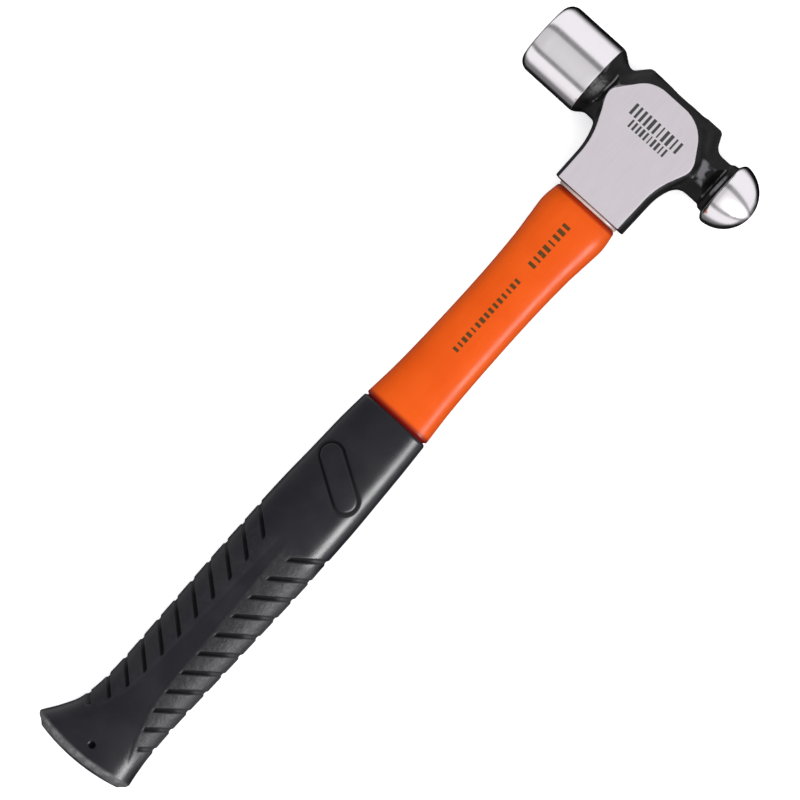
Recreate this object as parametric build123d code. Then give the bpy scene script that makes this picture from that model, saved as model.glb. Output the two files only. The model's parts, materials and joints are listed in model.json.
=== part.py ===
from build123d import *

import math
import os

# A one-pound ball peen hammer with a fibreglass handle and a moulded rubber grip.
#
# The hammer lies on its cheek. +X runs along the handle towards the head, +Y is the way the
# striking face looks, and +Z is up. The origin is the middle of the base of the bounding box.
#
# Every shape is drawn around the point where the head's axis crosses the handle's axis, and is
# moved to its place in the frame as it is written. Sizes are in millimetres, and a size that is
# called a half runs from an axis or a middle plane to the surface.

# Overall
TOTAL_LENGTH = 324.0
HEAD_TOP_X = 16.0
FACE_Y = 54.0
PEEN_TIP_Y = -46.0
SKIRT_X = -35.5
BUTT_X = HEAD_TOP_X - TOTAL_LENGTH

# Poll, the round striking end
POLL_RADIUS = 14.75
POLL_BACK_Y = 27.5
POLL_SHOULDER = 4.0
FACE_RADIUS = 9.6
FACE_EDGE = 4.6

# Peen, the ball end
PEEN_RADIUS = 13.0
PEEN_BACK = 0.9
COLLAR_RADIUS = 10.3
COLLAR_SETBACK = 1.2
COLLAR_LENGTH = 1.6
COLLAR_FLARE = 2.6

# Necks, octagons with a flat towards each cheek
POLL_NECK_HALF = 11.7
PEEN_NECK_HALF = 9.2
PEEN_NECK_END_Y = PEEN_TIP_Y + 16.0

# Cheeks: the flat outline as (x, y, corner radius), inside a sloping border
CHEEK_HALF = 12.5
CHEEK_BEVEL = 1.8
CHEEK_OUTLINE = [
    (SKIRT_X - 5.0, 14.0, 0.0),
    (-17.3, 14.2, 30.0),
    (-0.2, 21.9, 2.5),
    (HEAD_TOP_X - CHEEK_BEVEL, 10.8, 12.0),
    (HEAD_TOP_X - CHEEK_BEVEL, -10.0, 14.0),
    (-1.9, -20.4, 7.0),
    (-15.5, -14.0, 30.0),
    (SKIRT_X - 5.0, -13.7, 0.0),
]

# Webs that join the body to the necks, as (x, y, corner radius)
WEB_HALF = 8.0
WEB_OUTLINE = [
    (SKIRT_X, 15.2, 0.0),
    (-17.5, 15.4, 17.0),
    (-12.0, 18.2, 2.5),
    (-11.6, 25.0, 0.0),
    (11.4, 25.0, 0.0),
    (10.9, 20.5, 1.5),
    (HEAD_TOP_X, 15.6, 1.0),
    (HEAD_TOP_X, -17.9, 1.5),
    (8.8, -21.2, 5.0),
    (8.8, -29.0, 0.0),
    (-8.8, -29.0, 0.0),
    (-8.8, -18.6, 6.0),
    (-17.0, -15.2, 20.0),
    (SKIRT_X, -15.0, 0.0),
]

# Eye, an oval hole that is narrowest below its middle: half sizes along Y and Z
EYE_MOUTH = (12.1, 8.2)
EYE_WAIST = (11.1, 7.3)
EYE_WAIST_X = -10.0

# Handle core, the resin that fixes it in the eye, and the seal ring under the skirt
CORE_HALF = (8.5, 5.8)
CORE_TOP_X = HEAD_TOP_X - 0.6
RESIN_TOP_X = HEAD_TOP_X - 1.1
RING_HALF = (13.4, 10.4)
RING_FLANGE = 1.4
RING_SPIGOT = 3.0

# Outlines of the handle, as (x, half along Z, half towards the face, half towards the peen)
SECTION_POWER = 2.45
SECTION_POINTS = 16
SECTION_STEP = 8.5

# Jacket, and its narrower seat for the grip
JACKET_TOP_X = SKIRT_X - RING_FLANGE
GRIP_TOP_X = -139.5
JACKET = [
    (JACKET_TOP_X, 10.0, 13.4, 13.4),
    (-44.5, 10.8, 14.4, 14.4),
    (-52.0, 10.4, 13.8, 13.8),
    (-62.0, 10.0, 12.9, 12.9),
    (-80.0, 9.7, 12.3, 12.3),
    (-104.0, 9.8, 12.4, 12.4),
    (-124.0, 10.2, 13.0, 13.0),
    (GRIP_TOP_X, 11.0, 14.2, 14.2),
]
SEAT_WALL = 2.5
JACKET_END_X = BUTT_X + 6.0
CORE_END_X = BUTT_X + 8.0

# Grip
GRIP = [
    (GRIP_TOP_X, 11.1, 14.3, 14.3),
    (-152.0, 11.8, 15.1, 15.1),
    (-167.0, 12.5, 15.8, 15.8),
    (-182.0, 12.9, 16.4, 16.4),
    (-210.0, 13.2, 16.6, 16.6),
    (-245.0, 12.9, 16.0, 16.0),
    (-276.0, 12.7, 15.5, 15.5),
    (-289.0, 12.9, 16.9, 15.9),
    (-296.0, 13.4, 20.4, 16.8),
    (-303.0, 14.2, 25.0, 18.0),
    (BUTT_X, 14.5, 27.6, 18.8),
]
BUTT_DOME_RADIUS = 62.0
BUTT_FLAT_RADIUS = 4.0

# Tread: slanting grooves on both sides of a smooth spine, which widens towards its ends.
# A groove's place along the handle is taken where it is GROOVE_MIDDLE_Y from the middle.
GROOVE_COUNT = 11
GROOVE_PITCH = 9.15
GROOVE_LAST_X = -291.9
GROOVE_MIDDLE_Y = 9.0
GROOVE_OUTER_Y = 24.0
GROOVE_SLOPE = 0.8
GROOVE_WIDTH = 1.8
GROOVE_DEPTH = 1.1
SPINE_HALF = 4.9
SPINE_MIDDLE_X = -236.0
SPINE_HALF_LENGTH = 56.0
SPINE_FLARE = 8.5

# Thumb rest: a slanting rounded outline cut into each broad side
PAD_X = -168.9
PAD_Y = 1.5
PAD_LENGTH = 30.0
PAD_WIDTH = 10.4
PAD_LINE = 1.2
PAD_DEPTH = 0.6
PAD_SLANT = -121.0

# Pin holes left by the mould
PIN_HOLE_RADIUS = 1.2
PIN_HOLE_X = BUTT_X + 8.6
PIN_HOLE_DEPTH = 2.0

# Longer than any cut or slab needs to be
THROUGH = 40.0
BEYOND = 200.0

PLACE = Pos(TOTAL_LENGTH / 2 - HEAD_TOP_X, -(FACE_Y + PEEN_TIP_Y) / 2, POLL_RADIUS)


def row_slope(rows, i, column):
    """How fast one column of a table changes with its first column at row i."""
    before = rows[max(i - 1, 0)]
    after = rows[min(i + 1, len(rows) - 1)]
    return (after[column] - before[column]) / (after[0] - before[0])


def smooth_row(table, x):
    """The row of a table at x, on smooth curves through its rows."""
    rows = sorted(table)
    i = max(j for j in range(len(rows) - 1) if j == 0 or rows[j][0] <= x)
    span = rows[i + 1][0] - rows[i][0]
    t = (x - rows[i][0]) / span
    row = [x]
    for column in range(1, len(rows[0])):
        start = rows[i][column]
        end = rows[i + 1][column]
        leave = row_slope(rows, i, column) * span
        arrive = row_slope(rows, i + 1, column) * span
        bend = t * (1 - t) * ((1 - t) * (leave - end + start) - t * (arrive - end + start))
        row.append(start + (end - start) * t + bend)
    return row


def oval(x, half_z, half_face, half_peen):
    """A rounded-oblong face square to the handle."""
    half_y = (half_face + half_peen) / 2
    middle = (half_face - half_peen) / 2
    points = []
    for i in range(SECTION_POINTS):
        angle = 2 * math.pi * i / SECTION_POINTS
        c = math.cos(angle)
        s = math.sin(angle)
        y = half_y * math.copysign(abs(c) ** (2 / SECTION_POWER), c)
        z = half_z * math.copysign(abs(s) ** (2 / SECTION_POWER), s)
        points.append((middle + y, z))
    plane = Plane(origin=(x, 0, 0), x_dir=(0, 1, 0), z_dir=(1, 0, 0))
    return plane * make_face(Spline(*points, periodic=True))


def ellipse_face(x, half_y, half_z):
    """A true ellipse square to the handle."""
    plane = Plane(origin=(x, 0, 0), x_dir=(0, 1, 0), z_dir=(1, 0, 0))
    return plane * Ellipse(half_y, half_z)


def slab(x_low, x_high):
    """Everything between two planes square to the handle."""
    return Pos((x_low + x_high) / 2, 0, 0) * Box(x_high - x_low, BEYOND, BEYOND)


def rounded_plate(outline, half_thickness):
    """A flat plate with a filleted outline, both ways from the middle plane."""
    points = [(x, y) for x, y, radius in outline]
    radii = [radius for x, y, radius in outline]
    edge = FilletPolyline(*points, radius=radii, close=True)
    return extrude(make_face(edge), half_thickness, both=True)


def octagon_bar(half, y_low, y_high):
    """An octagonal bar along Y, measured to its flats."""
    plane = Plane(origin=(0, y_low, 0), x_dir=(1, 0, 0), z_dir=(0, 1, 0))
    section = RegularPolygon(half, 8, major_radius=False, rotation=22.5)
    return extrude(plane * section, y_high - y_low)


def turned(outline):
    """A solid turned about the head's axis from the edges of its half outline."""
    return revolve(make_face(Wire(outline)), Axis.Y)


def poll():
    """The striking end: a barrel with a rounded rim and a sloping back."""
    barrel_end = FACE_Y - FACE_EDGE
    bulge = 1 - math.cos(math.radians(45))
    rim_x = POLL_RADIUS - (POLL_RADIUS - FACE_RADIUS) * bulge
    rim_y = FACE_Y - FACE_EDGE * bulge
    neck_y = POLL_BACK_Y - POLL_SHOULDER
    return turned([
        Line((0, FACE_Y), (FACE_RADIUS, FACE_Y)),
        ThreePointArc((FACE_RADIUS, FACE_Y), (rim_x, rim_y), (POLL_RADIUS, barrel_end)),
        Line((POLL_RADIUS, barrel_end), (POLL_RADIUS, POLL_BACK_Y)),
        Line((POLL_RADIUS, POLL_BACK_Y), (POLL_NECK_HALF, neck_y)),
        Line((POLL_NECK_HALF, neck_y), (0, neck_y)),
        Line((0, neck_y), (0, FACE_Y)),
    ])


def peen():
    """The ball, its steep back and the collar that it grows from."""
    centre_y = PEEN_TIP_Y + PEEN_RADIUS
    back_y = centre_y + PEEN_BACK
    back_x = math.sqrt(PEEN_RADIUS**2 - PEEN_BACK**2)
    side_x = PEEN_RADIUS * math.sin(math.radians(45))
    side_y = centre_y - PEEN_RADIUS * math.cos(math.radians(45))
    collar_y = back_y + COLLAR_SETBACK
    neck_y = collar_y + COLLAR_LENGTH + COLLAR_FLARE
    return turned([
        Line((0, neck_y), (PEEN_NECK_HALF, neck_y)),
        Line((PEEN_NECK_HALF, neck_y), (COLLAR_RADIUS, collar_y + COLLAR_LENGTH)),
        Line((COLLAR_RADIUS, collar_y + COLLAR_LENGTH), (COLLAR_RADIUS, collar_y)),
        Line((COLLAR_RADIUS, collar_y), (back_x, back_y)),
        ThreePointArc((back_x, back_y), (side_x, side_y), (0, PEEN_TIP_Y)),
        Line((0, PEEN_TIP_Y), (0, neck_y)),
    ])


def cheeks():
    """The thick middle of the head, with a sloping border round both cheeks."""
    points = [(x, y) for x, y, radius in CHEEK_OUTLINE]
    radii = [radius for x, y, radius in CHEEK_OUTLINE]
    flat = make_face(FilletPolyline(*points, radius=radii, close=True))
    block = extrude(offset(flat, CHEEK_BEVEL), CHEEK_HALF, both=True)
    rims = block.faces().filter_by(Axis.Z).edges()
    return chamfer(rims, CHEEK_BEVEL) & slab(SKIRT_X, HEAD_TOP_X + THROUGH)


def eye():
    """The space inside the head that the handle goes through."""
    mouths = [SKIRT_X, EYE_WAIST_X, HEAD_TOP_X]
    sizes = [EYE_MOUTH, EYE_WAIST, EYE_MOUTH]
    return loft([ellipse_face(x, *size) for x, size in zip(mouths, sizes)])


def core():
    """The rod of glass fibre inside the handle."""
    section = ellipse_face(CORE_END_X, *CORE_HALF)
    return extrude(section, CORE_TOP_X - CORE_END_X)


def head():
    poll_neck = octagon_bar(POLL_NECK_HALF, 0, POLL_BACK_Y)
    peen_neck = octagon_bar(PEEN_NECK_HALF, PEEN_NECK_END_Y, 0)
    body = cheeks() + rounded_plate(WEB_OUTLINE, WEB_HALF)
    return body + poll_neck + peen_neck + poll() + peen() - eye()


def resin():
    """The cast filling between the core and the eye."""
    return (eye() & slab(SKIRT_X + RING_SPIGOT, RESIN_TOP_X)) - core()


def seal_ring():
    """A collar under the skirt, with a spigot up into the eye."""
    flange = extrude(ellipse_face(JACKET_TOP_X, *RING_HALF), RING_FLANGE)
    spigot = eye() & slab(SKIRT_X, SKIRT_X + RING_SPIGOT)
    return flange + spigot - core()


def handle_shape(table, inset=0.0):
    """The solid through a table of sections, drawn in by the same amount all round."""
    low = min(table)[0]
    high = max(table)[0]
    count = round((high - low) / SECTION_STEP)
    sections = []
    for i in range(count + 1):
        x, half_z, half_face, half_peen = smooth_row(table, low + (high - low) * i / count)
        sections.append(oval(x, half_z - inset, half_face - inset, half_peen - inset))
    return loft(sections)


def seat():
    """The outside of the jacket where it is covered by the grip."""
    return handle_shape(GRIP, SEAT_WALL) & slab(JACKET_END_X, GRIP_TOP_X)


def jacket():
    return handle_shape(JACKET) + seat() - core()


def local_bar(x, depth):
    """A short bar like the grip at x, drawn in by a depth, to stop a cut at that depth."""
    row_x, half_z, half_face, half_peen = smooth_row(GRIP, x)
    section = oval(x - THROUGH, half_z - depth, half_face - depth, half_peen - depth)
    return extrude(section, 2 * THROUGH)


def tread_groove(x, side):
    """One slanting groove, from beside the spine round to the other broad side."""
    inner_y = SPINE_HALF + SPINE_FLARE * ((x - SPINE_MIDDLE_X) / SPINE_HALF_LENGTH) ** 4
    inner_x = x + (inner_y - GROOVE_MIDDLE_Y) * GROOVE_SLOPE
    length = (GROOVE_OUTER_Y - inner_y) * math.hypot(1, GROOVE_SLOPE)
    slant = math.degrees(math.atan(GROOVE_SLOPE))
    turn = -slant if side > 0 else 180 + slant
    bar = Pos(0, length / 2, 0) * Box(GROOVE_WIDTH, length, THROUGH)
    stop = local_bar(x, GROOVE_DEPTH)
    return Pos(inner_x, side * inner_y, 0) * Rot(0, 0, turn) * bar - stop


def thumb_rest():
    """The outline of the thumb rest, cut into both broad sides."""
    line = Rot(0, 0, PAD_SLANT) * (
        SlotOverall(PAD_LENGTH, PAD_WIDTH)
        - SlotOverall(PAD_LENGTH - 2 * PAD_LINE, PAD_WIDTH - 2 * PAD_LINE)
    )
    return extrude(Pos(PAD_X, PAD_Y, 0) * line, THROUGH, both=True) - local_bar(PAD_X, PAD_DEPTH)


def pin_holes():
    drill = Pos(PIN_HOLE_X, 0, 0) * Cylinder(PIN_HOLE_RADIUS, THROUGH)
    return drill - local_bar(PIN_HOLE_X, PIN_HOLE_DEPTH)


def grip():
    """The grip, domed at the butt, with its tread, thumb rests and pin holes cut in."""
    dome_x = BUTT_X + math.sqrt(BUTT_DOME_RADIUS**2 - BUTT_FLAT_RADIUS**2)
    dome = Pos(dome_x, 0, 0) * Sphere(BUTT_DOME_RADIUS) + slab(dome_x, GRIP_TOP_X)
    body = (handle_shape(GRIP) & dome) - seat() - core()
    groove_x = [GROOVE_LAST_X + GROOVE_PITCH * i for i in range(GROOVE_COUNT)]
    grooves = [tread_groove(x, side) for x in groove_x for side in (-1, 1)]
    return body - grooves - thumb_rest() - pin_holes()


if __name__ == "__main__":
    os.makedirs("parts", exist_ok=True)
    pieces = {
        "hammer_head": head(),
        "handle_core": core(),
        "handle_jacket": jacket(),
        "eye_resin": resin(),
        "eye_seal_ring": seal_ring(),
        "grip": grip(),
    }
    for name, shape in pieces.items():
        export_step(PLACE * shape, f"parts/{name}.step")
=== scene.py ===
import json
import math

import bpy
import numpy as np
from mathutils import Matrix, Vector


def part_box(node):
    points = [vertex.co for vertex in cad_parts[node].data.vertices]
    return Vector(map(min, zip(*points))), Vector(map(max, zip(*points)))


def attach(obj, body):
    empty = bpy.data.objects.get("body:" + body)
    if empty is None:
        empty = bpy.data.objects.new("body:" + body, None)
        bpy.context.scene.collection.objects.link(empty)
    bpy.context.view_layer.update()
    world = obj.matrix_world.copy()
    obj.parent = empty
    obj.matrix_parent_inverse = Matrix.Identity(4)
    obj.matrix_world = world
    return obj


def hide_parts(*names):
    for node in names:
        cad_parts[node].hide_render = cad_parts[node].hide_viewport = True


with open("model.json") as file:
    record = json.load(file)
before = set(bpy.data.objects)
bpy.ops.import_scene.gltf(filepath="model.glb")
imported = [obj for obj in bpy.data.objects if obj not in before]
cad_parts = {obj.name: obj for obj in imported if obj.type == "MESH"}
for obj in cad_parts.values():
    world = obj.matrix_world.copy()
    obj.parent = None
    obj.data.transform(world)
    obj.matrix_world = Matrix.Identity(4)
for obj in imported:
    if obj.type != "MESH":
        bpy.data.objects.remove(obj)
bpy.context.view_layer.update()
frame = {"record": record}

import openvdb
from mathutils import Matrix, Vector

# A ball peen hammer on its cheek. Lengths in this file are millimetres around the point where
# the head's axis crosses the handle's axis: x along the handle towards the head, y towards the
# striking face, z up. to_frame() turns them into the frame's metres.

MM = 0.001
MOUNTS = {mount["name"]: mount for mount in frame["record"]["mounts"]}
HEAD_LOW, HEAD_HIGH = (np.array(corner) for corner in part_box("hammer_head"))
CORE_LOW, CORE_HIGH = (np.array(corner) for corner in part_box("handle_core"))
JACKET_HIGH = np.array(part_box("handle_jacket")[1])
RING_LOW, RING_HIGH = (np.array(corner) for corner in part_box("eye_seal_ring"))
GRIP_LOW, GRIP_HIGH = (np.array(corner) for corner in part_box("grip"))

CENTRE = np.array([
    MOUNTS["striking_face"]["pos_m"][0],
    (CORE_LOW[1] + CORE_HIGH[1]) / 2,
    MOUNTS["striking_face"]["pos_m"][2],
])


def local(value, axis):
    """A frame coordinate in metres as millimetres from the centre."""
    return (value - CENTRE[axis]) / MM


def to_frame(points):
    """Millimetres from the centre as frame coordinates in metres."""
    return CENTRE + np.asarray(points) * MM


HEAD_TOP = local(HEAD_HIGH[0], 0)
SKIRT = local(HEAD_LOW[0], 0)
FACE = local(HEAD_HIGH[1], 1)
PEEN_TIP = local(HEAD_LOW[1], 1)
POLL_RADIUS = MOUNTS["poll_barrel"]["dims"]["r_mm"]
JACKET_TOP = local(JACKET_HIGH[0], 0)
GRIP_TOP = local(GRIP_HIGH[0], 0)
BUTT = local(GRIP_LOW[0], 0)
CORE_TOP = local(CORE_HIGH[0], 0)
CORE_END = local(CORE_LOW[0], 0)
CORE_HALF = (CORE_HIGH - CORE_LOW)[1:] / 2 / MM
CHEEK_HALF = abs(local(MOUNTS["lower_cheek"]["pos_m"][2], 2))


# ---------------------------------------------------------------- head

FACE_EDGE = 4.6  # rounding of the striking face's rim
POLL_BACK = FACE - 26.5  # where the poll's barrel ends
POLL_NECK = 11.7  # half width of the octagonal neck at the poll
SHOULDER = 4.0  # length of the slope from the barrel to the neck
PEEN_RADIUS = 13.0
PEEN_BACK = PEEN_TIP + 14.9  # where the ball meets its collar
PEEN_NECK = 9.2  # half width of the octagonal neck at the peen
BALL_EDGE = 12.7  # radius at which the ball's back turns in
BALL_SETBACK = 1.3  # how far that edge lies before the collar
COLLAR = 10.3
COLLAR_HALF = 1.6  # half the collar's length
COLLAR_SHIFT = 0.3
CHEEK_TOP = 12.8
SIDE_BEVEL = 1.3  # width of the lacquered border beside a cheek
BORDER_SLOPE = 1.4  # how steeply it falls away from the cheek
BORDER_SCALE = 0.5812  # 1 / sqrt(1 + BORDER_SLOPE ** 2)
TOP_BLEND = 12  # the border widens from x = 0 to here
NECK_SPAN = 22.0  # the neck's size changes from y = -NECK_SPAN to NECK_SPAN
OCTAGON = 0.414  # half a side of an octagon whose half width is 1
DIAGONAL = 0.7071
HEAD_CELL = 0.4  # cell of the grid that the head is meshed on

# Where polish and grinding end: y on the two polished ends, and depths below the flat cheek
POLL_POLISH = POLL_BACK + 0.6
PEEN_POLISH = PEEN_BACK - 0.9
GROUND_DEPTH = 0.12
GROUND_EXTRA = 0.4  # added at the skirt's edge
GROUND_SHARPNESS = 4

# The eye: its half sizes at the waist, the waist's x, and how it widens away from there
EYE_HALF = (11.1, 7.3)
EYE_WAIST = -10.0
EYE_FLARE = 26.0  # distance from the waist at which it is 1 mm wider each way
EYE_FLARE_Z = 0.9

# Corners of the outlines seen square to the cheeks, as (x, y, rounding)
CHEEK_CORNERS = [
    (SKIRT - 5.0, 14.3, 0.0),
    (-17.3, 14.5, 30.0),
    (-0.2, 22.2, 5.0),
    (CHEEK_TOP, 11.8, 12.0),
    (CHEEK_TOP, -11.1, 14.0),
    (-1.9, -20.4, 7.0),
    (-15.5, -14.3, 30.0),
    (SKIRT - 5.0, -14.0, 0.0),
]
FORGING_CORNERS = [
    (SKIRT - 5.0, 15.2, 0.0),
    (-17.5, 15.4, 30.0),
    (-12.0, 18.2, 2.5),
    (-11.8, 28.0, 0.0),
    (11.6, 28.0, 0.0),
    (10.9, 20.5, 2.0),
    (HEAD_TOP + 1.0, 15.0, 0.0),
    (HEAD_TOP + 1.0, -17.6, 0.0),
    (PEEN_NECK, -21.2, 5.0),
    (PEEN_NECK, -31.0, 0.0),
    (-PEEN_NECK, -31.0, 0.0),
    (-PEEN_NECK, -18.6, 7.0),
    (-17.0, -15.2, 20.0),
    (SKIRT - 5.0, -15.0, 0.0),
]


def rounded_outline(corners, steps=8):
    """Points round a polygon whose corners are (x, y, rounding)."""
    points = []
    for i, (x, y, radius) in enumerate(corners):
        here = np.array([x, y])
        before = np.array(corners[i - 1][:2]) - here
        after = np.array(corners[(i + 1) % len(corners)][:2]) - here
        before = before / np.linalg.norm(before)
        after = after / np.linalg.norm(after)
        half = math.acos(np.clip(before.dot(after), -1, 1)) / 2
        if radius == 0:
            points.append(here)
            continue
        bisector = (before + after) / np.linalg.norm(before + after)
        centre = here + bisector * radius / math.sin(half)
        reach = radius / math.tan(half)
        for j in range(steps + 1):
            spoke = here + (before * (steps - j) + after * j) / steps * reach - centre
            points.append(centre + spoke / np.linalg.norm(spoke) * radius)
    return np.array(points)


def outline_distance(x, y, outline):
    """Signed distance from a closed outline, negative inside."""
    nearest = np.full(np.broadcast(x, y).shape, np.inf)
    inside = np.zeros(nearest.shape, bool)
    for start, end in zip(outline, np.roll(outline, -1, axis=0)):
        edge = end - start
        along = np.clip(((x - start[0]) * edge[0] + (y - start[1]) * edge[1]) / edge.dot(edge), 0, 1)
        gap = (x - start[0] - along * edge[0]) ** 2 + (y - start[1] - along * edge[1]) ** 2
        nearest = np.minimum(nearest, gap)
        if edge[1] != 0:
            crosses = (start[1] > y) != (end[1] > y)
            inside ^= crosses & (x < start[0] + (y - start[1]) * edge[0] / edge[1])
    return np.where(inside, -1, 1) * np.sqrt(nearest)


def smooth_min(a, b, blend):
    """The smaller of two distances, rounded where they meet."""
    near = np.maximum(blend - np.abs(a - b), 0) / blend
    return np.minimum(a, b) - near * near * blend / 4


def smooth_max(a, b, blend):
    """The larger of two distances, rounded where they meet."""
    return -smooth_min(-a, -b, blend)


def smooth_step(low, high, value):
    """0 at low and 1 at high, easing in and out; low may be the larger."""
    t = np.clip((value - low) / (high - low), 0, 1)
    return t * t * (3 - 2 * t)


def past_line(radius, y, start, end):
    """Distance to the left of a line in a turned profile, from start to end."""
    run = np.array(end) - np.array(start)
    run = run / np.linalg.norm(run)
    return (y - start[1]) * run[0] - (radius - start[0]) * run[1]


CHEEK = rounded_outline(CHEEK_CORNERS)
FORGING = rounded_outline(FORGING_CORNERS)


def eye_half(x):
    """Half sizes of the eye along y and z at x: an oval that is narrowest below the middle."""
    swell = ((x - EYE_WAIST) / EYE_FLARE) ** 2
    return EYE_HALF[0] + swell, EYE_HALF[1] + EYE_FLARE_Z * swell


def head_body(x, y, z):
    """Distance from the forging without its two ends: cheeks, webs and necks."""
    depth = np.abs(z)
    cheek = outline_distance(x, y, CHEEK)
    forging = outline_distance(x, y, FORGING)
    bevel = SIDE_BEVEL + (HEAD_TOP - CHEEK_TOP - SIDE_BEVEL) * np.clip(x / TOP_BLEND, 0, 1)
    border = (depth - CHEEK_HALF + cheek * BORDER_SLOPE) * BORDER_SCALE
    block = smooth_max(border, cheek - bevel, 1.0)
    half = PEEN_NECK + (POLL_NECK - PEEN_NECK) * smooth_step(-NECK_SPAN, NECK_SPAN, y)
    corner = (forging + depth - half * OCTAGON) * DIAGONAL
    bar = smooth_max(smooth_max(forging, depth - half, 0.9), corner, 0.9)
    body = smooth_min(block, bar, 2.4)
    body = smooth_max(smooth_max(body, x - HEAD_TOP, 0.9), SKIRT - x, 0.3)
    body = smooth_max(body, depth - CHEEK_HALF, 0.25)
    eye_y, eye_z = eye_half(x)
    eye = (np.sqrt((y / eye_y) ** 2 + (z / eye_z) ** 2) - 1) * eye_z
    return smooth_max(body, -eye, 0.8)


def head_distance(x, y, z):
    """Distance from the surface of the whole head, negative inside."""
    radius = np.hypot(x, z)
    rim = np.hypot(
        np.maximum(radius - POLL_RADIUS + FACE_EDGE, 0),
        np.maximum(y - FACE + FACE_EDGE, 0),
    )
    flat = np.maximum(radius - POLL_RADIUS + FACE_EDGE, y - FACE + FACE_EDGE)
    barrel = rim + np.minimum(flat, 0) - FACE_EDGE
    shoulder = past_line(radius, y, (POLL_RADIUS, POLL_BACK), (POLL_NECK, POLL_BACK - SHOULDER))
    poll = smooth_max(barrel, shoulder, 0.9)
    ball = np.hypot(radius, y - PEEN_TIP - PEEN_RADIUS) - PEEN_RADIUS
    back = past_line(radius, y, (COLLAR, PEEN_BACK), (BALL_EDGE, PEEN_BACK - BALL_SETBACK))
    ball = smooth_max(ball, back, 1.4)
    collar_end = np.abs(y - PEEN_BACK - COLLAR_SHIFT) - COLLAR_HALF
    collar = smooth_max(radius - COLLAR, collar_end, 1.2)
    body = smooth_min(head_body(x, y, z), collar, 1.6)
    return smooth_min(smooth_min(body, poll, 0.8), ball, 0.5)


def slope_of(distance, points, step=0.02):
    """The gradient of a distance at some points."""
    slope = np.empty_like(points)
    for axis in range(3):
        shift = np.zeros(3)
        shift[axis] = step
        ahead = distance(*(points + shift).T)
        behind = distance(*(points - shift).T)
        slope[:, axis] = (ahead - behind) / (2 * step)
    return slope


def mesh_of_distance(distance, low, high, cell):
    """Vertices, quads and normals of the surface where a distance is zero."""
    axes = [np.arange(a - 3 * cell, b + 4 * cell, cell) for a, b in zip(low, high)]
    x, y, z = np.meshgrid(*axes, indexing="ij", sparse=True)
    grid = openvdb.FloatGrid()
    grid.copyFromArray(np.ascontiguousarray(distance(x, y, z), dtype=np.float32))
    points, quads = grid.convertToQuads(0.0)
    points = points.astype(float) * cell + np.array([axis[0] for axis in axes])
    # A few Newton steps bring the vertices onto the exact surface
    for _ in range(3):
        slope = slope_of(distance, points)
        length = np.maximum((slope**2).sum(axis=1), 0.25)
        points -= slope * (distance(*points.T) / length)[:, None]
    slope = slope_of(distance, points)
    return points, quads, slope / np.linalg.norm(slope, axis=1)[:, None]


# ---------------------------------------------------------------- meshes

OVAL_ASPECT = 1.3


def add_mesh(name, points, faces, replaced, normals=None):
    """A mesh piece that rides on the hammer and stands for one CAD node."""
    mesh = bpy.data.meshes.new(name)
    mesh.from_pydata(to_frame(points).tolist(), [], faces)
    mesh.shade_smooth()
    if normals is not None:
        mesh.normals_split_custom_set_from_vertices(normals.tolist())
    piece = bpy.data.objects.new(name, mesh)
    bpy.context.scene.collection.objects.link(piece)
    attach(piece, "root")
    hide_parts(replaced)
    return piece


def add_rings(name, rings, replaced, loop=False):
    """A closed skin over rings of points: a tube bent back on itself, or one with two ends."""
    rings = np.array(rings)
    count, columns = rings.shape[:2]
    faces = ring_faces(count, columns, loop).tolist()
    if not loop:
        faces.append(list(range(columns)))
        faces.append(list(range(count * columns - 1, (count - 1) * columns - 1, -1)))
    return add_mesh(name, rings.reshape(-1, 3), faces, replaced)


def add_values(piece, name, values):
    """A number at every vertex, for a material to read."""
    attribute = piece.data.attributes.new(name, "FLOAT", "POINT")
    attribute.data.foreach_set("value", np.asarray(values, dtype=np.float32))


def ring_faces(rings, columns, closed):
    """Quads between rings of points, and round to the first ring when closed."""
    last = rings if closed else rings - 1
    ring = np.arange(last)[:, None]
    column = np.arange(columns)[None, :]
    here = ring * columns
    there = (ring + 1) % rings * columns
    beside = (column + 1) % columns
    corners = [here + column, there + column, there + beside, here + beside]
    return np.stack(np.broadcast_arrays(*corners), axis=-1).reshape(-1, 4)


def unit_oval(power, columns):
    """Points evenly spaced round a superellipse, as a pair of arrays from -1 to 1.

    The spacing is even on an oval OVAL_ASPECT times as wide as it is thick.
    """
    angle = np.linspace(0, 2 * math.pi, 4001)
    c, s = np.cos(angle), np.sin(angle)
    y = np.sign(c) * np.abs(c) ** (2 / power)
    z = np.sign(s) * np.abs(s) ** (2 / power)
    length = np.concatenate([[0], np.cumsum(np.hypot(np.diff(y * OVAL_ASPECT), np.diff(z)))])
    even = np.linspace(0, length[-1], columns, endpoint=False)
    return np.interp(even, length, y), np.interp(even, length, z)


def smooth_rows(table, x):
    """The columns of a table at each x, on smooth curves through its rows."""
    rows = np.array(sorted(table))
    knots = rows[:, 0]
    slope = np.empty_like(rows)
    slope[1:-1] = (rows[2:] - rows[:-2]) / (knots[2:] - knots[:-2])[:, None]
    slope[0] = (rows[1] - rows[0]) / (knots[1] - knots[0])
    slope[-1] = (rows[-1] - rows[-2]) / (knots[-1] - knots[-2])
    x = np.clip(x, knots[0], knots[-1])
    i = np.clip(np.searchsorted(knots, x, side="right") - 1, 0, len(knots) - 2)
    span = (knots[i + 1] - knots[i])[..., None]
    t = (x - knots[i])[..., None] / span
    rise = rows[i + 1] - rows[i]
    bend = (1 - t) * (slope[i] * span - rise) - t * (slope[i + 1] * span - rise)
    return (rows[i] + rise * t + t * (1 - t) * bend)[..., 1:]


# ---------------------------------------------------------------- handle

SECTION_POWER = 2.45  # superellipse power of the handle's section

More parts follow.
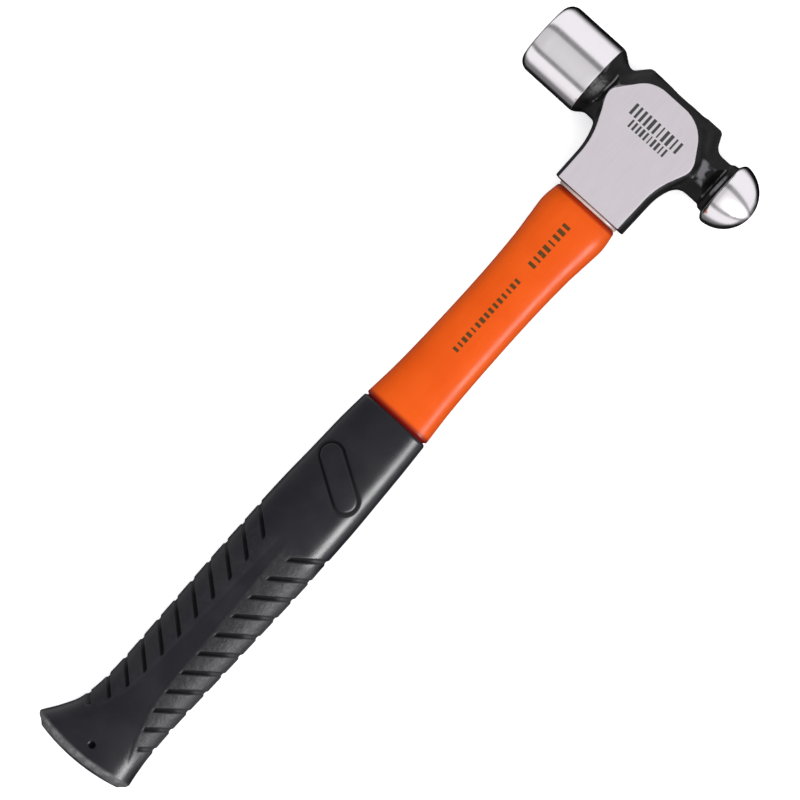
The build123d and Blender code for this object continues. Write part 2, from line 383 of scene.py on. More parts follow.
# x, half along z, half towards the face, half towards the peen
JACKET_ROWS = [
    (JACKET_TOP, 10.0, 13.4, 13.4),
    (-44.5, 10.8, 14.4, 14.4),
    (-52.0, 10.4, 13.8, 13.8),
    (-62.0, 10.0, 12.9, 12.9),
    (-80.0, 9.7, 12.3, 12.3),
    (-104.0, 9.8, 12.4, 12.4),
    (-124.0, 10.2, 13.0, 13.0),
    (GRIP_TOP, 11.0, 14.2, 14.2),
]
GRIP_ROWS = [
    (GRIP_TOP, 11.1, 14.3, 14.3),
    (-152.0, 11.8, 15.1, 15.1),
    (-167.0, 12.5, 15.5, 15.8),
    (-182.0, 12.9, 16.0, 16.4),
    (-210.0, 13.2, 16.1, 16.6),
    (-245.0, 12.9, 15.5, 16.0),
    (-276.0, 12.7, 15.1, 15.5),
    (-289.0, 12.9, 16.9, 15.9),
    (-296.0, 13.4, 20.4, 16.8),
    (-303.0, 14.2, 25.0, 18.0),
    (BUTT, 14.5, 27.6, 18.8),
]
GRIP_WALL = 2.5

# x of the rings on the grip's bore and on the jacket's seat in it
SEAT_PLACES = np.concatenate([np.arange(BUTT + 6.0, -270, 2.5), np.arange(-270, GRIP_TOP - 2.2, 8)])

DOME_RADIUS = 75.0
DOME_Y = 6.0  # y of the dome's middle
BUTT_EDGE = 2.6  # rounding of the butt's rim
BUTT_HALF = 16.0  # typical half width of the butt, to turn that rounding into a share

# How strongly the rings take the painted highlight, from the foot of the wall over the rim to the start
# of the dome
BUTT_HIGHLIGHT = [0.3, 1, 1, 1, 1, 0.7, 0.4, 0.2]

GROOVE_COUNT = 11
GROOVE_PITCH = 9.15
GROOVE_LAST = -291.9  # x of the groove nearest the butt, GROOVE_MIDDLE out from the spine's line
GROOVE_MIDDLE = 9.0
GROOVE_SLOPE = 0.8  # how far a groove runs along the handle for its run across
GROOVE_DEPTH = 1.0
TREAD_HALF = 16.2  # half width of the tread that the slope is reckoned on
TREAD_ROUNDING = 1.2  # rounds the grooves' bend at the spine's line

# The smooth spine between the grooves, narrowest in its middle and flared to both ends
SPINE_HALF = 4.9
SPINE_MIDDLE = -236.0
SPINE_HALF_LENGTH = 56.0
SPINE_FLARE = 8.5

# The side panels: their height over the spine, and the y of their border by x
PANEL_HEIGHT = 0.3
PANEL_X = [-303, -294, -286, -276, -262, -230, -205, -198]
PANEL_BORDER = [15.5, 11.5, 8.0, 4.9, 3.7, 2.5, 1.4, 1.0]

# The pin hole: its distance from the butt, its y and its depth
PIN_HOLE = 8.6
PIN_Y = 1.5
PIN_DEPTH = 2.0

# The thumb rest: its middle, half its straight length, its end radius and its slant, then the
# depth of the line round it and the rise of its pillow
PAD_X = -168.9
PAD_Y = 0.3
PAD_HALF = 8.9
PAD_RADIUS = 4.6
PAD_SLANT = math.radians(31)
PAD_LINE = 0.6
PAD_PILLOW = 0.25


def skin(x, halves, oval, inset=0.0):
    """Points on the handle at x: one row of points for each row of x."""
    side = np.where(oval[0] > 0, halves[..., 1] - inset, halves[..., 2] - inset)
    return np.stack([x, side * oval[0], (halves[..., 0] - inset) * oval[1]], axis=-1)


def groove_rings():
    """Ring places through the tread, close together at the walls of each groove."""
    half = [0.0, 0.45, 0.7, 0.9, 1.1, 1.35, 1.8, 2.6, 3.6]
    offsets = sorted([-step for step in half[1:]] + half + [GROOVE_PITCH / 2])
    return [GROOVE_LAST + GROOVE_PITCH * i + step for i in range(GROOVE_COUNT) for step in offsets]


def tread_cut(along, x, across):
    """The tread's grooves, 1 at the bottom of a groove and 0 off it."""
    spine = SPINE_HALF + SPINE_FLARE * ((x - SPINE_MIDDLE) / SPINE_HALF_LENGTH) ** 4
    number = np.clip(np.round((along - GROOVE_LAST) / GROOVE_PITCH), 0, GROOVE_COUNT - 1)
    gap = np.abs(along - GROOVE_LAST - number * GROOVE_PITCH)
    return (1 - smooth_step(0.45, 1.3, gap)) * smooth_step(-0.5, 0.6, across - spine)


def panel_height(x, across):
    """Where the side panels stand proud of the spine: 1 on a panel and 0 off it."""
    border = np.interp(x, PANEL_X, PANEL_BORDER)
    return smooth_step(0, 0.9, across - border) * smooth_step(-196, -203, x)


def pad_groove(x, y):
    """The line round the thumb rest, 1 at its bottom and 0 off it, and the pillow inside."""
    dx, dy = x - PAD_X, y - PAD_Y
    along = -dy * math.cos(PAD_SLANT) - dx * math.sin(PAD_SLANT)
    off = -dy * math.sin(PAD_SLANT) + dx * math.cos(PAD_SLANT)
    gap = np.hypot(np.maximum(np.abs(along) - PAD_HALF, 0), off) - PAD_RADIUS
    return 1 - smooth_step(0.25, 0.85, np.abs(gap)), smooth_step(0.6, -1.2, gap)


def oval_ring(x, half_y, half_z, oval):
    """One ring of points square to the handle, about its axis."""
    return np.stack([np.full(len(oval[0]), float(x)), half_y * oval[0], half_z * oval[1]], axis=-1)


def table_ring(table, x, oval, inset=0.0):
    """One ring of points at x on the handle's outline, drawn in by the inset."""
    places = np.full(len(oval[0]), float(x))
    return skin(places, smooth_rows(table, places), oval, inset)


def shrunk(points, share, x_shift=0.0):
    """A ring drawn in towards the handle's axis, and moved along it."""
    return points * [1, share, share] + [x_shift, 0, 0]


def dome_drop(points):
    """How far the butt's domed end lies above its lowest point."""
    return DOME_RADIUS - np.sqrt(DOME_RADIUS**2 - (points[:, 1] - DOME_Y) ** 2 - points[:, 2] ** 2)


def grip_wall(oval):
    """The grip's outside from top to foot, with masks of what is cut in and of the side panels."""
    across = np.abs(oval[0]) * TREAD_HALF
    shear = (np.sqrt(across**2 + TREAD_ROUNDING) - GROOVE_MIDDLE) * GROOVE_SLOPE
    tread = np.array(sorted(groove_rings(), reverse=True))
    plain = np.arange(GRIP_TOP - 1.2, tread[0] + 0.4, -0.45)
    foot = np.linspace(tread[-1] - 0.8, BUTT + BUTT_EDGE, 16)
    along = np.concatenate([plain, tread, foot])[:, None]

    # Rings follow the slanting grooves through the tread, and the dome at the foot
    x = along + smooth_step(-176, -197, along) * smooth_step(BUTT + 1, -292, along) * shear
    butt = table_ring(GRIP_ROWS, BUTT + 3, oval)
    x = x + dome_drop(butt) * smooth_step(-290, BUTT, x)
    halves = smooth_rows(GRIP_ROWS, x)
    y = skin(x, halves, oval)[..., 1]

    line, pillow = pad_groove(x, y)
    pin = 1 - smooth_step(1.0, 1.45, np.hypot(x - BUTT - PIN_HOLE, y - PIN_Y))
    # The panels are lower on the face's side, and the grooves shallower near the silhouette
    panel = panel_height(x, np.abs(y)) * np.where(y > 0, 0.4, 1.0) * smooth_step(-300, -286, x)
    groove = tread_cut(along, x, across) * (1 - 0.5 * smooth_step(11.5, 14, np.abs(y)))
    sunk = PANEL_HEIGHT * (1 - panel) * smooth_step(-190, -205, x)
    cuts = GROOVE_DEPTH * groove + PAD_LINE * line - PAD_PILLOW * pillow + PIN_DEPTH * pin
    wall = skin(x, halves, oval, (sunk + cuts) * smooth_step(GRIP_TOP, GRIP_TOP - 4, x))
    # The first mask marks where the rubber's colour carries painted shade, the second where it is
    # paler, partly with a painted sheen
    return wall, np.clip(groove + line + 2 * pin, 0, 1), panel * (1 - groove)


def butt_rings(foot):
    """The butt's rounded rim and its dome, from the wall's last ring to the middle."""
    rim = [
        shrunk(foot, 1 - BUTT_EDGE * (1 - math.cos(turn)) / BUTT_HALF, -BUTT_EDGE * math.sin(turn))
        for turn in np.radians([15, 30, 45, 60])
    ]
    inside = 1 - BUTT_EDGE / BUTT_HALF
    dome = [shrunk(foot, inside * share) for share in np.linspace(1, 0.03, 22)]
    for cap in dome:
        cap[:, 0] = BUTT + dome_drop(cap)
    return rim + dome


def build_grip():
    """The rubber skin: its bore from the blind end up, its lip, its tread and its domed butt."""
    columns = 224
    oval = unit_oval(SECTION_POWER, columns)
    wall, cut, panel = grip_wall(oval)
    inner = [table_ring(GRIP_ROWS, place, oval, GRIP_WALL) for place in SEAT_PLACES]
    blind = [shrunk(inner[0], share) for share in (0.04, 0.5)]
    lip = [(2.0, 2.3), (0.3, 2.1), (0.0, 1.0), (0.15, 0.5), (0.5, 0.15), (1.0, 0.0)]
    lip = [table_ring(GRIP_ROWS, GRIP_TOP - down, oval, inset) for down, inset in lip]
    before = len(blind + inner + lip)
    rings = blind + inner + lip + list(wall) + butt_rings(wall[-1])
    piece = add_rings("grip_skin", rings, "grip")
    for name, values in [("cut", cut), ("panel", panel)]:
        full = np.zeros((len(rings), columns))
        full[before:before + len(wall)] = values
        add_values(piece, name, full.ravel())
    lead = before + len(wall) - 1
    rim_highlight = np.pad(BUTT_HIGHLIGHT, (lead, len(rings) - lead - len(BUTT_HIGHLIGHT)))
    add_values(piece, "rim_highlight", np.repeat(rim_highlight, columns))
    return piece


def build_jacket():
    """The jacket: its bore, its rounded shoulder, its outside and its seat under the grip."""
    columns = 176
    oval = unit_oval(SECTION_POWER, columns)
    round_oval = unit_oval(2.0, columns)
    bore = [oval_ring(place, *CORE_HALF, round_oval) for place in (BUTT + 9, -200, -100, JACKET_TOP)]
    shoulder = [(0.0, 1.3), (0.0, 0.8), (0.2, 0.4), (0.5, 0.15), (1.0, 0.0)]
    shoulder = [table_ring(JACKET_ROWS, JACKET_TOP - down, oval, inset) for down, inset in shoulder]
    outside = [table_ring(JACKET_ROWS, place, oval)
               for place in np.linspace(JACKET_TOP - 1.6, GRIP_TOP + 1.2, 120)]
    crease = [(0.8, 0.15), (0.6, 0.5), (0.4, 0.9), (-0.2, 1.0)]
    crease = [table_ring(JACKET_ROWS, GRIP_TOP + above, oval, inset) for above, inset in crease]
    seat = [table_ring(GRIP_ROWS, place, oval, GRIP_WALL + 0.05) for place in SEAT_PLACES[::-1]]
    return add_rings("jacket_skin", bore + shoulder + outside + crease + seat,
                     "handle_jacket", loop=True)


def build_seal_ring():
    """A translucent collar under the skirt, with a spigot up into the eye."""
    oval = unit_oval(2.0, 128)
    low = JACKET_TOP
    eye_y, eye_z = (float(half) for half in eye_half(SKIRT + 2.5))
    half_y = (RING_HIGH - RING_LOW)[1] / 2 / MM
    half_z = (RING_HIGH - RING_LOW)[2] / 2 / MM
    profile = [
        (low, CORE_HALF[0], CORE_HALF[1]),
        (SKIRT + 3.0, CORE_HALF[0], CORE_HALF[1]),
        (SKIRT + 3.0, eye_y - 0.3, eye_z - 0.3),
        (SKIRT + 0.1, eye_y + 0.2, eye_z + 0.2),
        (SKIRT - 0.05, half_y - 0.5, half_z - 0.5),
        (SKIRT - 0.25, half_y - 0.1, half_z - 0.1),
        (SKIRT - 0.6, half_y, half_z),
        (low + 0.4, half_y - 0.1, half_z - 0.1),
        (low + 0.05, half_y - 0.5, half_z - 0.5),
    ]
    rings = [oval_ring(x, across, thick, oval) for x, across, thick in profile]
    return add_rings("seal_collar", rings, "eye_seal_ring", loop=True)


def build_resin():
    """The cast resin between core and eye, with a sunk top that climbs at both walls."""
    oval = unit_oval(2.0, 160)
    rows = []
    for x in np.linspace(SKIRT + 3.0, HEAD_TOP - 0.9, 14):
        half_y, half_z = eye_half(x)
        rows.append((x, float(half_y) + 0.02, float(half_z) + 0.02))
    core_y, core_z = CORE_HALF
    half_y, half_z = (float(half) for half in eye_half(HEAD_TOP - 1))
    for share, sink in [(0.9, 1.15), (0.75, 1.35), (0.5, 1.45), (0.25, 1.35), (0.1, 1.15), (0, 0.9)]:
        rows.append((
            HEAD_TOP - sink,
            core_y + (half_y - core_y) * share,
            core_z + (half_z - core_z) * share,
        ))
    rows.append((SKIRT + 3.0, core_y, core_z))
    rings = [oval_ring(x, across, thick, oval) for x, across, thick in rows][::-1]
    return add_rings("eye_filling", rings, "eye_resin", loop=True)


def build_core():
    """The glass-fibre rod, with its sawn end showing at the top of the eye."""
    oval = unit_oval(2.0, 160)
    half_y, half_z = CORE_HALF
    rows = [(CORE_END, share) for share in (0.03, 0.5, 0.97)]
    rows += [(CORE_END + 0.4, 1.0), (-150.0, 1.0), (CORE_TOP - 0.25, 1.0), (CORE_TOP, 0.975)]
    rows += [(CORE_TOP, share) for share in (0.8, 0.5, 0.2, 0.03)]
    rings = [oval_ring(x, half_y * share, half_z * share, oval) for x, share in rows]
    return add_rings("fibre_core", rings, "handle_core")


def build_head():
    """The forging, with a mask for its ground cheeks and one for its polished ends."""
    low = [SKIRT, PEEN_TIP, -POLL_RADIUS]
    high = [HEAD_TOP, FACE, POLL_RADIUS]
    points, quads, normals = mesh_of_distance(head_distance, low, high, HEAD_CELL)
    piece = add_mesh("forged_head", points, quads.tolist(), "hammer_head", normals)
    x, y, z = points.T
    skirt_edge = 1 - smooth_step(SKIRT + 0.25, SKIRT + 0.7, x)
    ground = np.abs(z) - CHEEK_HALF + GROUND_DEPTH + skirt_edge * GROUND_EXTRA
    ground = ground * GROUND_SHARPNESS
    cheek = np.minimum(-outline_distance(x, y, CHEEK), ground)
    add_values(piece, "cheek_mm", cheek)
    add_values(piece, "polish_mm", np.maximum(y - POLL_POLISH, PEEN_POLISH - y))
    return piece


# ---------------------------------------------------------------- materials

# The bars' thinnest and thickest half widths, as shares of the pitch, and their soft edge
BAR_HALVES = (0.15, 0.34)
BAR_SOFTNESS = 0.0001


class Nodes:
    """Short ways to add nodes to a node tree."""

    def __init__(self, tree, output):
        self.tree = tree
        tree.nodes.clear()
        self.output = self.node(output)

    def node(self, kind, inputs=None, **settings):
        """A new node, with its settings made and its inputs linked or set."""
        node = self.tree.nodes.new("ShaderNode" + kind)
        for key, value in settings.items():
            setattr(node, key, value)
        for key, value in (inputs or {}).items():
            self.put(node.inputs[key], value)
        return node

    def put(self, socket, value):
        """Link a socket to an output, or set it to a constant."""
        if isinstance(value, bpy.types.NodeSocket):
            self.tree.links.new(value, socket)
        else:
            socket.default_value = value

    def math(self, operation, a, b=0.0):
        """The result of a math operation on one or two numbers."""
        node = self.node("Math", operation=operation)
        self.put(node.inputs[0], a)
        self.put(node.inputs[1], b)
        return node.outputs[0]

    def ramp(self, value, low, high, start=0.0, end=1.0, smooth=True):
        """A value from start to end as another goes from low to high."""
        node = self.node("MapRange", {"Value": value, "From Min": low, "From Max": high,
                                      "To Min": start, "To Max": end})
        node.interpolation_type = "SMOOTHSTEP" if smooth else "LINEAR"
        return node.outputs["Result"]

    def mix(self, factor, a, b):
        """A colour between a and b."""
        node = self.node("Mix", data_type="RGBA")
        self.put(node.inputs["Factor"], factor)
        self.put(node.inputs[6], a)
        self.put(node.inputs[7], b)
        return node.outputs[2]

    def blend(self, factor, a, b):
        """A number between a and b."""
        node = self.node("Mix", data_type="FLOAT")
        self.put(node.inputs["Factor"], factor)
        self.put(node.inputs[2], a)
        self.put(node.inputs[3], b)
        return node.outputs[0]


class Look(Nodes):
    """A node material with one Principled shader."""

    def __init__(self, name):
        self.material = bpy.data.materials.new(name)
        self.material.use_nodes = True
        super().__init__(self.material.node_tree, "OutputMaterial")
        self.shader = self.node("BsdfPrincipled")
        self.put(self.output.inputs["Surface"], self.shader.outputs[0])
        self.place = self.node("TexCoord").outputs["Object"]

    def set(self, **values):
        """Link or set the shader's inputs, named with underscores for spaces."""
        for key, value in values.items():
            self.put(self.shader.inputs[key.replace("_", " ")], value)

    def stretched(self, scale):
        """The place on the object, stretched along the axes."""
        return self.node("Mapping", {"Vector": self.place, "Scale": scale}).outputs[0]

    def noise(self, scale, detail=3.0, place=None, roughness=0.5):
        """Cloudy noise from 0 to 1, with scale features to the metre."""
        vector = self.place if place is None else place
        return self.node("TexNoise", {"Vector": vector, "Scale": scale, "Detail": detail,
                                      "Roughness": roughness}).outputs["Fac"]

    def bump(self, height, distance, strength=1.0, normal=None):
        """A normal tilted by a height, over another normal if there is one."""
        node = self.node("Bump", {"Height": height, "Distance": distance, "Strength": strength})
        if normal is not None:
            self.put(node.inputs["Normal"], normal)
        return node.outputs[0]

    def attribute(self, name):
        """A number that the mesh holds at its vertices."""
        return self.node("Attribute", attribute_name=name).outputs["Fac"]

    def axis(self, name):
        """One coordinate of the place on the object, in metres."""
        return self.node("SeparateXYZ", {"Vector": self.place}).outputs[name]

    def marks(self, along, across, start, pitch, count, row, height):
        """A row of plain bars of uneven widths: 1 on a bar and 0 off it.

        It runs along one axis from start, a bar to each pitch, and lies at row across it.
        """
        cell = self.math("DIVIDE", self.math("SUBTRACT", along, start), pitch)
        number = self.math("FLOOR", cell)
        part = self.math("ABSOLUTE", self.math("SUBTRACT", self.math("FRACT", cell), 0.5))
        width = self.node("TexWhiteNoise", {"W": number}, noise_dimensions="1D").outputs["Value"]
        half = self.ramp(width, 0, 1, *BAR_HALVES, smooth=False)
        edge = self.math("MULTIPLY", self.math("SUBTRACT", half, part), pitch)
        tall = self.math("SUBTRACT", height / 2,
                         self.math("ABSOLUTE", self.math("SUBTRACT", across, row)))
        bar = self.ramp(self.math("MINIMUM", edge, tall), -BAR_SOFTNESS, BAR_SOFTNESS)
        first = self.math("GREATER_THAN", cell, 0.0)
        last = self.math("LESS_THAN", cell, float(count))
        return self.math("MULTIPLY", bar, self.math("MULTIPLY", first, last))


def grey(value):
    """A colour without hue, as a shader's socket takes it."""
    return (value, value, value, 1.0)


def steel_look():
    """Polished ends, satin ground cheeks and black lacquer between them."""
    look = Look("forged_steel")
    polish = look.ramp(look.attribute("polish_mm"), -0.1, 0.1)
    flat = look.ramp(look.attribute("cheek_mm"), -0.1, 0.1)
    x, y = look.axis("X"), look.axis("Y")
    cx, cy = CENTRE[0], CENTRE[1]
    top_row = look.marks(y, x, cy - 11.9 * MM, 2.13 * MM, 11, cx + 0.65 * MM, 4.7 * MM)
    low_row = look.marks(y, x, cy - 9.1 * MM, 1.78 * MM, 10, cx - 4.0 * MM, 3.3 * MM)
    marks = look.math("MULTIPLY", look.math("MAXIMUM", top_row, low_row), flat)
    blotch = look.noise(170, 4)
    fine = look.noise(900, 3)
    grain = look.noise(1500, 2, look.stretched((0.06, 1, 1)))
    turning = look.noise(2600, 2, look.stretched((0.05, 1, 0.05)))
    normal = look.node("NewGeometry").outputs["Normal"]
    upward = look.node("SeparateXYZ", {"Vector": normal}).outputs["Z"]
    # Painted highlights: pale mottled blotches on the lacquer where it faces straight up or down,
    # standing in for glints on the neck's facets
    painted_glints = look.math("MULTIPLY", look.ramp(look.noise(190, 3), 0.41, 0.6),
                       look.ramp(look.math("ABSOLUTE", upward), 0.8, 0.96))
    lacquer = look.mix(look.ramp(blotch, 0.35, 0.7), grey(0.004), grey(0.009))
    lacquer = look.mix(look.math("MULTIPLY", painted_glints, 0.8), lacquer, (0.15, 0.145, 0.155, 1))
    satin = look.mix(grain, (0.61, 0.575, 0.60, 1), (0.69, 0.655, 0.68, 1))
    bright = look.mix(look.noise(60, 3), (0.76, 0.74, 0.75, 1), (0.82, 0.80, 0.81, 1))
    colour = look.mix(polish, look.mix(flat, lacquer, satin), bright)
    colour = look.mix(marks, colour, grey(0.045))
    metal = look.math("MAXIMUM", look.math("MULTIPLY", flat, 0.85), polish)
    metal = look.math("MULTIPLY", metal, look.math("SUBTRACT", 1.0, marks))
    rough = look.blend(flat, look.ramp(blotch, 0.3, 0.7, 0.32, 0.44), look.ramp(grain, 0, 1, 0.36, 0.5))
    rough = look.blend(polish, rough, look.ramp(turning, 0.3, 0.7, 0.18, 0.25))
    rough = look.blend(marks, rough, 0.6)
    painted = look.math("SUBTRACT", 1.0, look.math("MAXIMUM", polish, flat))
    height = look.math("MULTIPLY", look.math("ADD", look.noise(330, 2), fine), painted)
    coated = look.bump(height, 0.0002, 0.6)
    cut = look.bump(look.math("SUBTRACT", 1.0, marks), 0.00006, 0.6, coated)
    scratch = look.math("ADD", look.math("MULTIPLY", turning, polish),
                        look.math("MULTIPLY", grain, flat))
    spoke = look.node("VectorMath", {0: look.place, 1: tuple(CENTRE)}, operation="SUBTRACT").outputs[0]
    turned = look.node("VectorMath", {0: spoke, 1: (0, 1, 0)}, operation="CROSS_PRODUCT").outputs[0]
    tangent = look.node("VectorMath", {0: normal, 1: turned}, operation="CROSS_PRODUCT").outputs[0]
    look.set(Base_Color=colour, Metallic=metal, Roughness=rough, Specular_IOR_Level=0.1,
             Anisotropic=look.math("MULTIPLY", polish, 0.8), Tangent=tangent,
             Normal=look.bump(scratch, 0.00002, 0.35, cut))
    return look.material


def jacket_look():
    """Glossy orange plastic with a printed row of plain bars on each broad side."""
    look = Look("orange_jacket")
    x, y = look.axis("X"), look.axis("Y")
    cx, cy = CENTRE[0], CENTRE[1]
    long_row = look.marks(x, y, cx - 66.8 * MM, 2.62 * MM, 8, cy + 0.15 * MM, 3.2 * MM)
    short_row = look.marks(x, y, cx - 107.5 * MM, 2.35 * MM, 15, cy + 0.1 * MM, 2.4 * MM)
    ink = look.math("MAXIMUM", long_row, short_row)
    ink = look.math("MULTIPLY", ink, look.ramp(look.noise(900, 2), 0.25, 0.4, 0.75, 1.0))
    cloud = look.noise(45, 4)
    fibre = look.noise(420, 3, look.stretched((0.04, 1, 1)))
    colour = look.mix(look.ramp(cloud, 0.3, 0.7), (0.61, 0.073, 0.004, 1), (0.66, 0.087, 0.006, 1))
    colour = look.mix(look.ramp(fibre, 0.35, 0.8, 0.0, 0.18), colour, (0.60, 0.055, 0.003, 1))
    colour = look.mix(ink, colour, (0.075, 0.040, 0.010, 1))
    # Painted shade: the jacket turns deep red over its top 2.4 mm, fully so in the last 1 mm under the
    # seal collar
    rim = look.ramp(x, cx + (JACKET_TOP - 2.4) * MM, cx + (JACKET_TOP - 1.0) * MM)
    joint = look.ramp(x, cx + (GRIP_TOP + 3.2) * MM, cx + (GRIP_TOP + 0.9) * MM)
    colour = look.mix(rim, colour, (0.30, 0.02, 0.002, 1))
    colour = look.mix(joint, colour, (0.15, 0.006, 0.003, 1))
    rough = look.blend(ink, look.ramp(look.noise(260, 3), 0.3, 0.7, 0.29, 0.38), 0.45)
    normal = look.bump(look.math("ADD", look.noise(190, 2), fibre), 0.00006, 0.5)
    look.set(Base_Color=colour, Roughness=rough, Normal=look.bump(ink, 0.00003, 1.0, normal),
             Specular_IOR_Level=0.07)
    return look.material


def rubber_look():
    """Charcoal rubber with the spark texture of its mould, paler on the tread's panels with a painted
    sheen, and a painted highlight on the butt's rim.
    """
    look = Look("black_rubber")
    spark = look.noise(2600, 3, roughness=0.6)
    cloud = look.noise(70, 4)
    mottle = look.ramp(look.noise(420, 4, roughness=0.65), 0.35, 0.68)
    cut = look.attribute("cut")
    panel = look.attribute("panel")
    rim_highlight = look.attribute("rim_highlight")
    colour = look.mix(look.ramp(cloud, 0.3, 0.7), (0.006, 0.006, 0.009, 1), (0.011, 0.011, 0.014, 1))
    # The side panels are paler and mottled: partly the textured rubber's own tone, partly a painted
    # sheen, fuller on the -y side where the panel mask is full
    pale_panels_and_sheen = look.math("MULTIPLY", panel, look.ramp(mottle, 0, 1, 0.2, 0.8, smooth=False))
    colour = look.mix(pale_panels_and_sheen, colour, (0.024, 0.024, 0.026, 1))
    # Painted highlight: a mottled light grey band on the butt's rounded rim
    colour = look.mix(look.math("MULTIPLY", rim_highlight, look.ramp(mottle, 0, 1, 0.55, 1.0)), colour,
                      (0.15, 0.15, 0.15, 1))
    # Painted shade: the grooves, the line round the thumb rest and the pin hole are darkened almost to
    # black
    colour = look.mix(cut, colour, (0.0015, 0.0015, 0.002, 1))
    rough = look.ramp(look.math("ADD", look.math("MULTIPLY", spark, 0.5), cloud), 0.4, 1.1, 0.27, 0.36)
    rough = look.blend(look.math("MULTIPLY", look.math("MAXIMUM", panel, rim_highlight), 0.8), rough, 0.6)
    rough = look.blend(cut, rough, 0.95)
    fine = look.math("MULTIPLY", spark, look.ramp(rim_highlight, 0, 1, 0.5, 0.15))
    rise = look.math("ADD", fine, look.math("MULTIPLY", mottle, panel))
    look.set(Base_Color=colour, Roughness=rough, Specular_IOR_Level=0.22,
             Normal=look.bump(rise, 0.00018, 0.6))
    return look.material


def seal_look():
    """Pinkish translucent resin, clouded."""
    look = Look("seal_resin")
    cloud = look.noise(240, 3)
    colour = look.mix(cloud, (0.80, 0.56, 0.50, 1), (0.86, 0.72, 0.68, 1))
    look.set(Base_Color=colour, Roughness=look.ramp(cloud, 0, 1, 0.25, 0.4), Transmission_Weight=0.25,
             Subsurface_Weight=0.4, Subsurface_Scale=0.002, Normal=look.bump(cloud, 0.0001, 0.3))
    return look.material


def resin_look():
    """Amber cast resin with a wavy, glossy top."""
    look = Look("clear_resin")
    cloud = look.noise(300, 4)
    colour = look.mix(cloud, (0.30, 0.17, 0.06, 1), (0.46, 0.30, 0.13, 1))
    look.set(Base_Color=colour, Roughness=look.ramp(cloud, 0, 1, 0.12, 0.22), Coat_Weight=0.4,
             Normal=look.bump(look.noise(700, 2), 0.0001, 0.4))
    return look.material


def fibre_look():
    """Sawn glass fibre: pale dots of roving on the end, long strands down the side."""
    look = Look("glass_fibre")
    dots = look.node("TexVoronoi", {"Vector": look.stretched((0.05, 1, 1)), "Scale": 2600}).outputs[0]
    saw = look.noise(900, 2, look.stretched((1, 0.1, 1)))
    colour = look.mix(look.ramp(dots, 0.1, 0.6), (0.72, 0.66, 0.50, 1), (0.36, 0.29, 0.18, 1))
    look.set(Base_Color=colour, Roughness=look.ramp(saw, 0.3, 0.7, 0.5, 0.75),
             Normal=look.bump(look.math("ADD", dots, saw), 0.00012, 0.6))
    return look.material


# ---------------------------------------------------------------- studio

# The sky's bands, by the slope of the surface that shows them to a camera above: how far
# they lean along x, and from where to where the gaps, the boxes and the dark edges fade in
SKY_LEAN = 0.27
GAP_FADE = (math.radians(14.8), math.radians(18.2))
BOX_FADE = (math.radians(22), math.radians(26.5))
DARK_FADE = (math.radians(49), math.radians(62))
GAP_DEPTH = 0.64
BOX_LIGHT = 1.12

# The picture is VIEW_WIDTH metres across at TARGET, which is in millimetres
LENS = 600
SENSOR = 36
VIEW_WIDTH = 0.288
TARGET = [-133.3, 3.4, 0.0]
TURN = math.radians(47.9)
TILT = math.radians(3.5)


def add_sheet(name, low, high, z, look):
    """A flat rectangle of the studio, which isn't part of the hammer."""
    mesh = bpy.data.meshes.new(name)
    corners = [(low[0], low[1], z), (high[0], low[1], z), (high[0], high[1], z), (low[0], high[1], z)]
    mesh.from_pydata(corners, [], [(0, 1, 2, 3)])
    mesh.materials.append(look.material)
    sheet = bpy.data.objects.new(name, mesh)
    bpy.context.scene.collection.objects.link(sheet)
    return sheet


def add_floor():
    """A pale floor that only the camera sees, and a dark table just under it.

    The table is seen by diffuse rays alone, and keeps light from coming up from below.
    """
    base = HEAD_LOW[2]
    paper = Look("studio_floor")
    paper.set(Base_Color=paper.mix(paper.noise(6, 3), grey(0.90), grey(0.93)), Roughness=0.9,
              Emission_Color=grey(1.0), Emission_Strength=0.4)
    floor = add_sheet("floor", (-3, -3), (3, 3), base - 0.0002, paper)
    floor.visible_glossy = False
    floor.visible_diffuse = False
    felt = Look("studio_table")
    felt.set(Base_Color=felt.mix(felt.noise(9, 3), grey(0.05), grey(0.07)), Roughness=0.9)
    table = add_sheet("table", (-1.5, -1.5), (1.5, 1.5), base - 0.001, felt)
    table.visible_camera = False
    table.visible_glossy = False


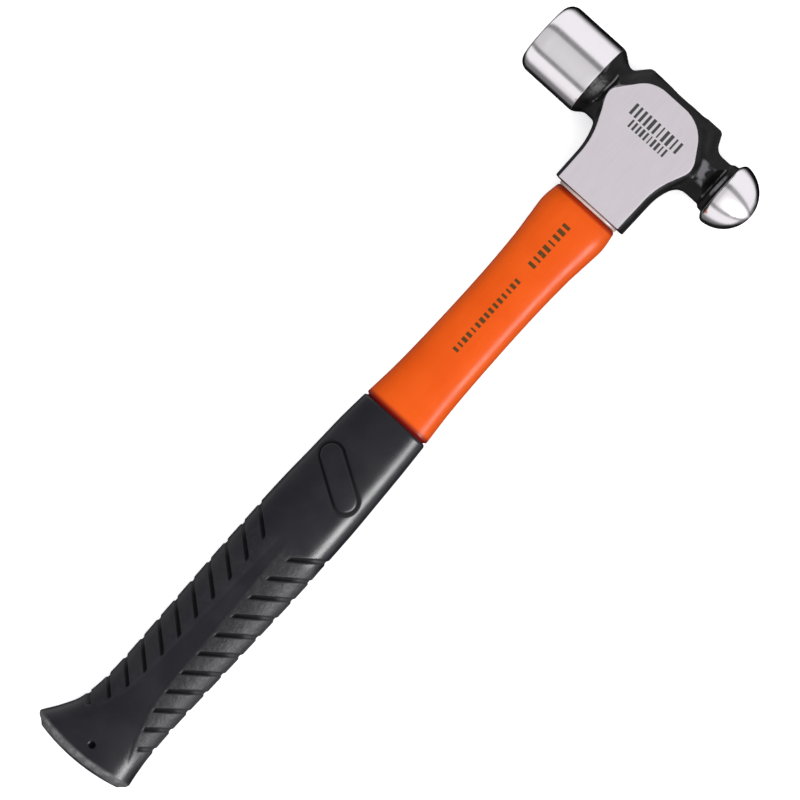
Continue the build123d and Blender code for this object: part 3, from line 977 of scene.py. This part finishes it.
def add_world():
    """Soft boxes to both sides of a ceiling, with a grey gap before each, and dark edges.

    The bands follow the slope that a surface needs, to show a direction to a camera above.
    Turned steel therefore shows them along its length, and they meet at the tip of the ball.
    """
    world = bpy.data.worlds.new("studio")
    bpy.context.scene.world = world
    world.use_nodes = True
    sky = Nodes(world.node_tree, "OutputWorld")
    way = sky.node("SeparateXYZ", {"Vector": sky.node("TexCoord").outputs["Generated"]})
    rise = sky.math("ADD", way.outputs["Z"], 1.0)
    leaning = sky.math("ADD", way.outputs["X"], sky.math("MULTIPLY", rise, SKY_LEAN / 2))
    slope = sky.math("ARCTAN2", sky.math("ABSOLUTE", leaning), rise)
    boxes = sky.ramp(slope, *BOX_FADE)
    gap = sky.math("MULTIPLY", sky.ramp(slope, *GAP_FADE), sky.math("SUBTRACT", 1.0, boxes))
    steep = sky.math("ADD", slope, sky.ramp(way.outputs["X"], -0.2, 0.2, 0.12, -0.08))
    dark = sky.ramp(way.outputs["X"], -0.2, 0.2, 0.2, 0.05)
    edge = sky.ramp(steep, *DARK_FADE, 1.0, dark)
    behind = sky.ramp(way.outputs["Y"], -0.2, 0.2, -0.72, -0.8)
    under = sky.math("SUBTRACT", way.outputs["Z"], behind)
    edge = sky.math("MULTIPLY", edge, sky.ramp(under, 0.0, 0.2, 0.04, 1.0))
    ceiling = sky.ramp(way.outputs["Y"], -0.35, 0.0, 1.08, 0.75)
    between = sky.math("SUBTRACT", 1.0, sky.math("MULTIPLY", gap, GAP_DEPTH))
    shade = sky.math("MULTIPLY", between, edge)
    light = sky.math("MULTIPLY", sky.blend(boxes, ceiling, BOX_LIGHT), shade)
    backdrop = sky.node("Background", {"Color": (0.98, 0.965, 1.0, 1), "Strength": light})
    sky.put(sky.output.inputs["Surface"], backdrop.outputs[0])


def add_light(name, direction, distance, size, power, glossy=False, diffuse=False):
    """A soft panel that faces the hammer from a direction, for gloss or for diffuse light."""
    light = bpy.data.lights.new(name, "AREA")
    light.shape = "RECTANGLE"
    light.size, light.size_y = size
    light.energy = power
    panel = bpy.data.objects.new(name, light)
    away = Vector(direction).normalized()
    panel.location = Vector(CENTRE) * 0.3 + away * distance
    panel.rotation_euler = away.to_track_quat("Z", "Y").to_euler()
    panel.visible_glossy = glossy
    panel.visible_diffuse = diffuse
    panel.visible_camera = False
    bpy.context.scene.collection.objects.link(panel)


def add_camera():
    """A long lens above the cheek, turned so that the head is at the upper right."""
    camera = bpy.data.cameras.new("camera")
    camera.lens = LENS
    camera.sensor_width = SENSOR
    right = Vector((math.cos(TURN), -math.sin(TURN), 0))
    back = Vector((0, -math.sin(TILT), math.cos(TILT)))
    right = (right - back * right.dot(back)).normalized()
    up = back.cross(right)
    eye = bpy.data.objects.new("camera", camera)
    rotation = Matrix((right, up, back)).transposed().to_4x4()
    away = VIEW_WIDTH * LENS / SENSOR
    eye.matrix_world = Matrix.Translation(Vector(to_frame(TARGET)) + back * away) @ rotation
    bpy.context.scene.collection.objects.link(eye)
    bpy.context.scene.camera = eye


for build, look in [
    (build_head, steel_look),
    (build_jacket, jacket_look),
    (build_grip, rubber_look),
    (build_seal_ring, seal_look),
    (build_resin, resin_look),
    (build_core, fibre_look),
]:
    build().data.materials.append(look())

add_floor()
add_world()
add_light("low_key", (0.1, -1.0, 0.08), 0.9, (0.35, 0.25), 3.2, diffuse=True)
add_light("strip", (-0.09, -1.0, 0.23), 0.9, (0.36, 0.36), 18, glossy=True)
add_light("ceiling", (0.0, -0.15, 1.0), 1.3, (1.6, 1.6), 14, diffuse=True)
add_camera()
bpy.context.scene.view_settings.view_transform = "Standard"
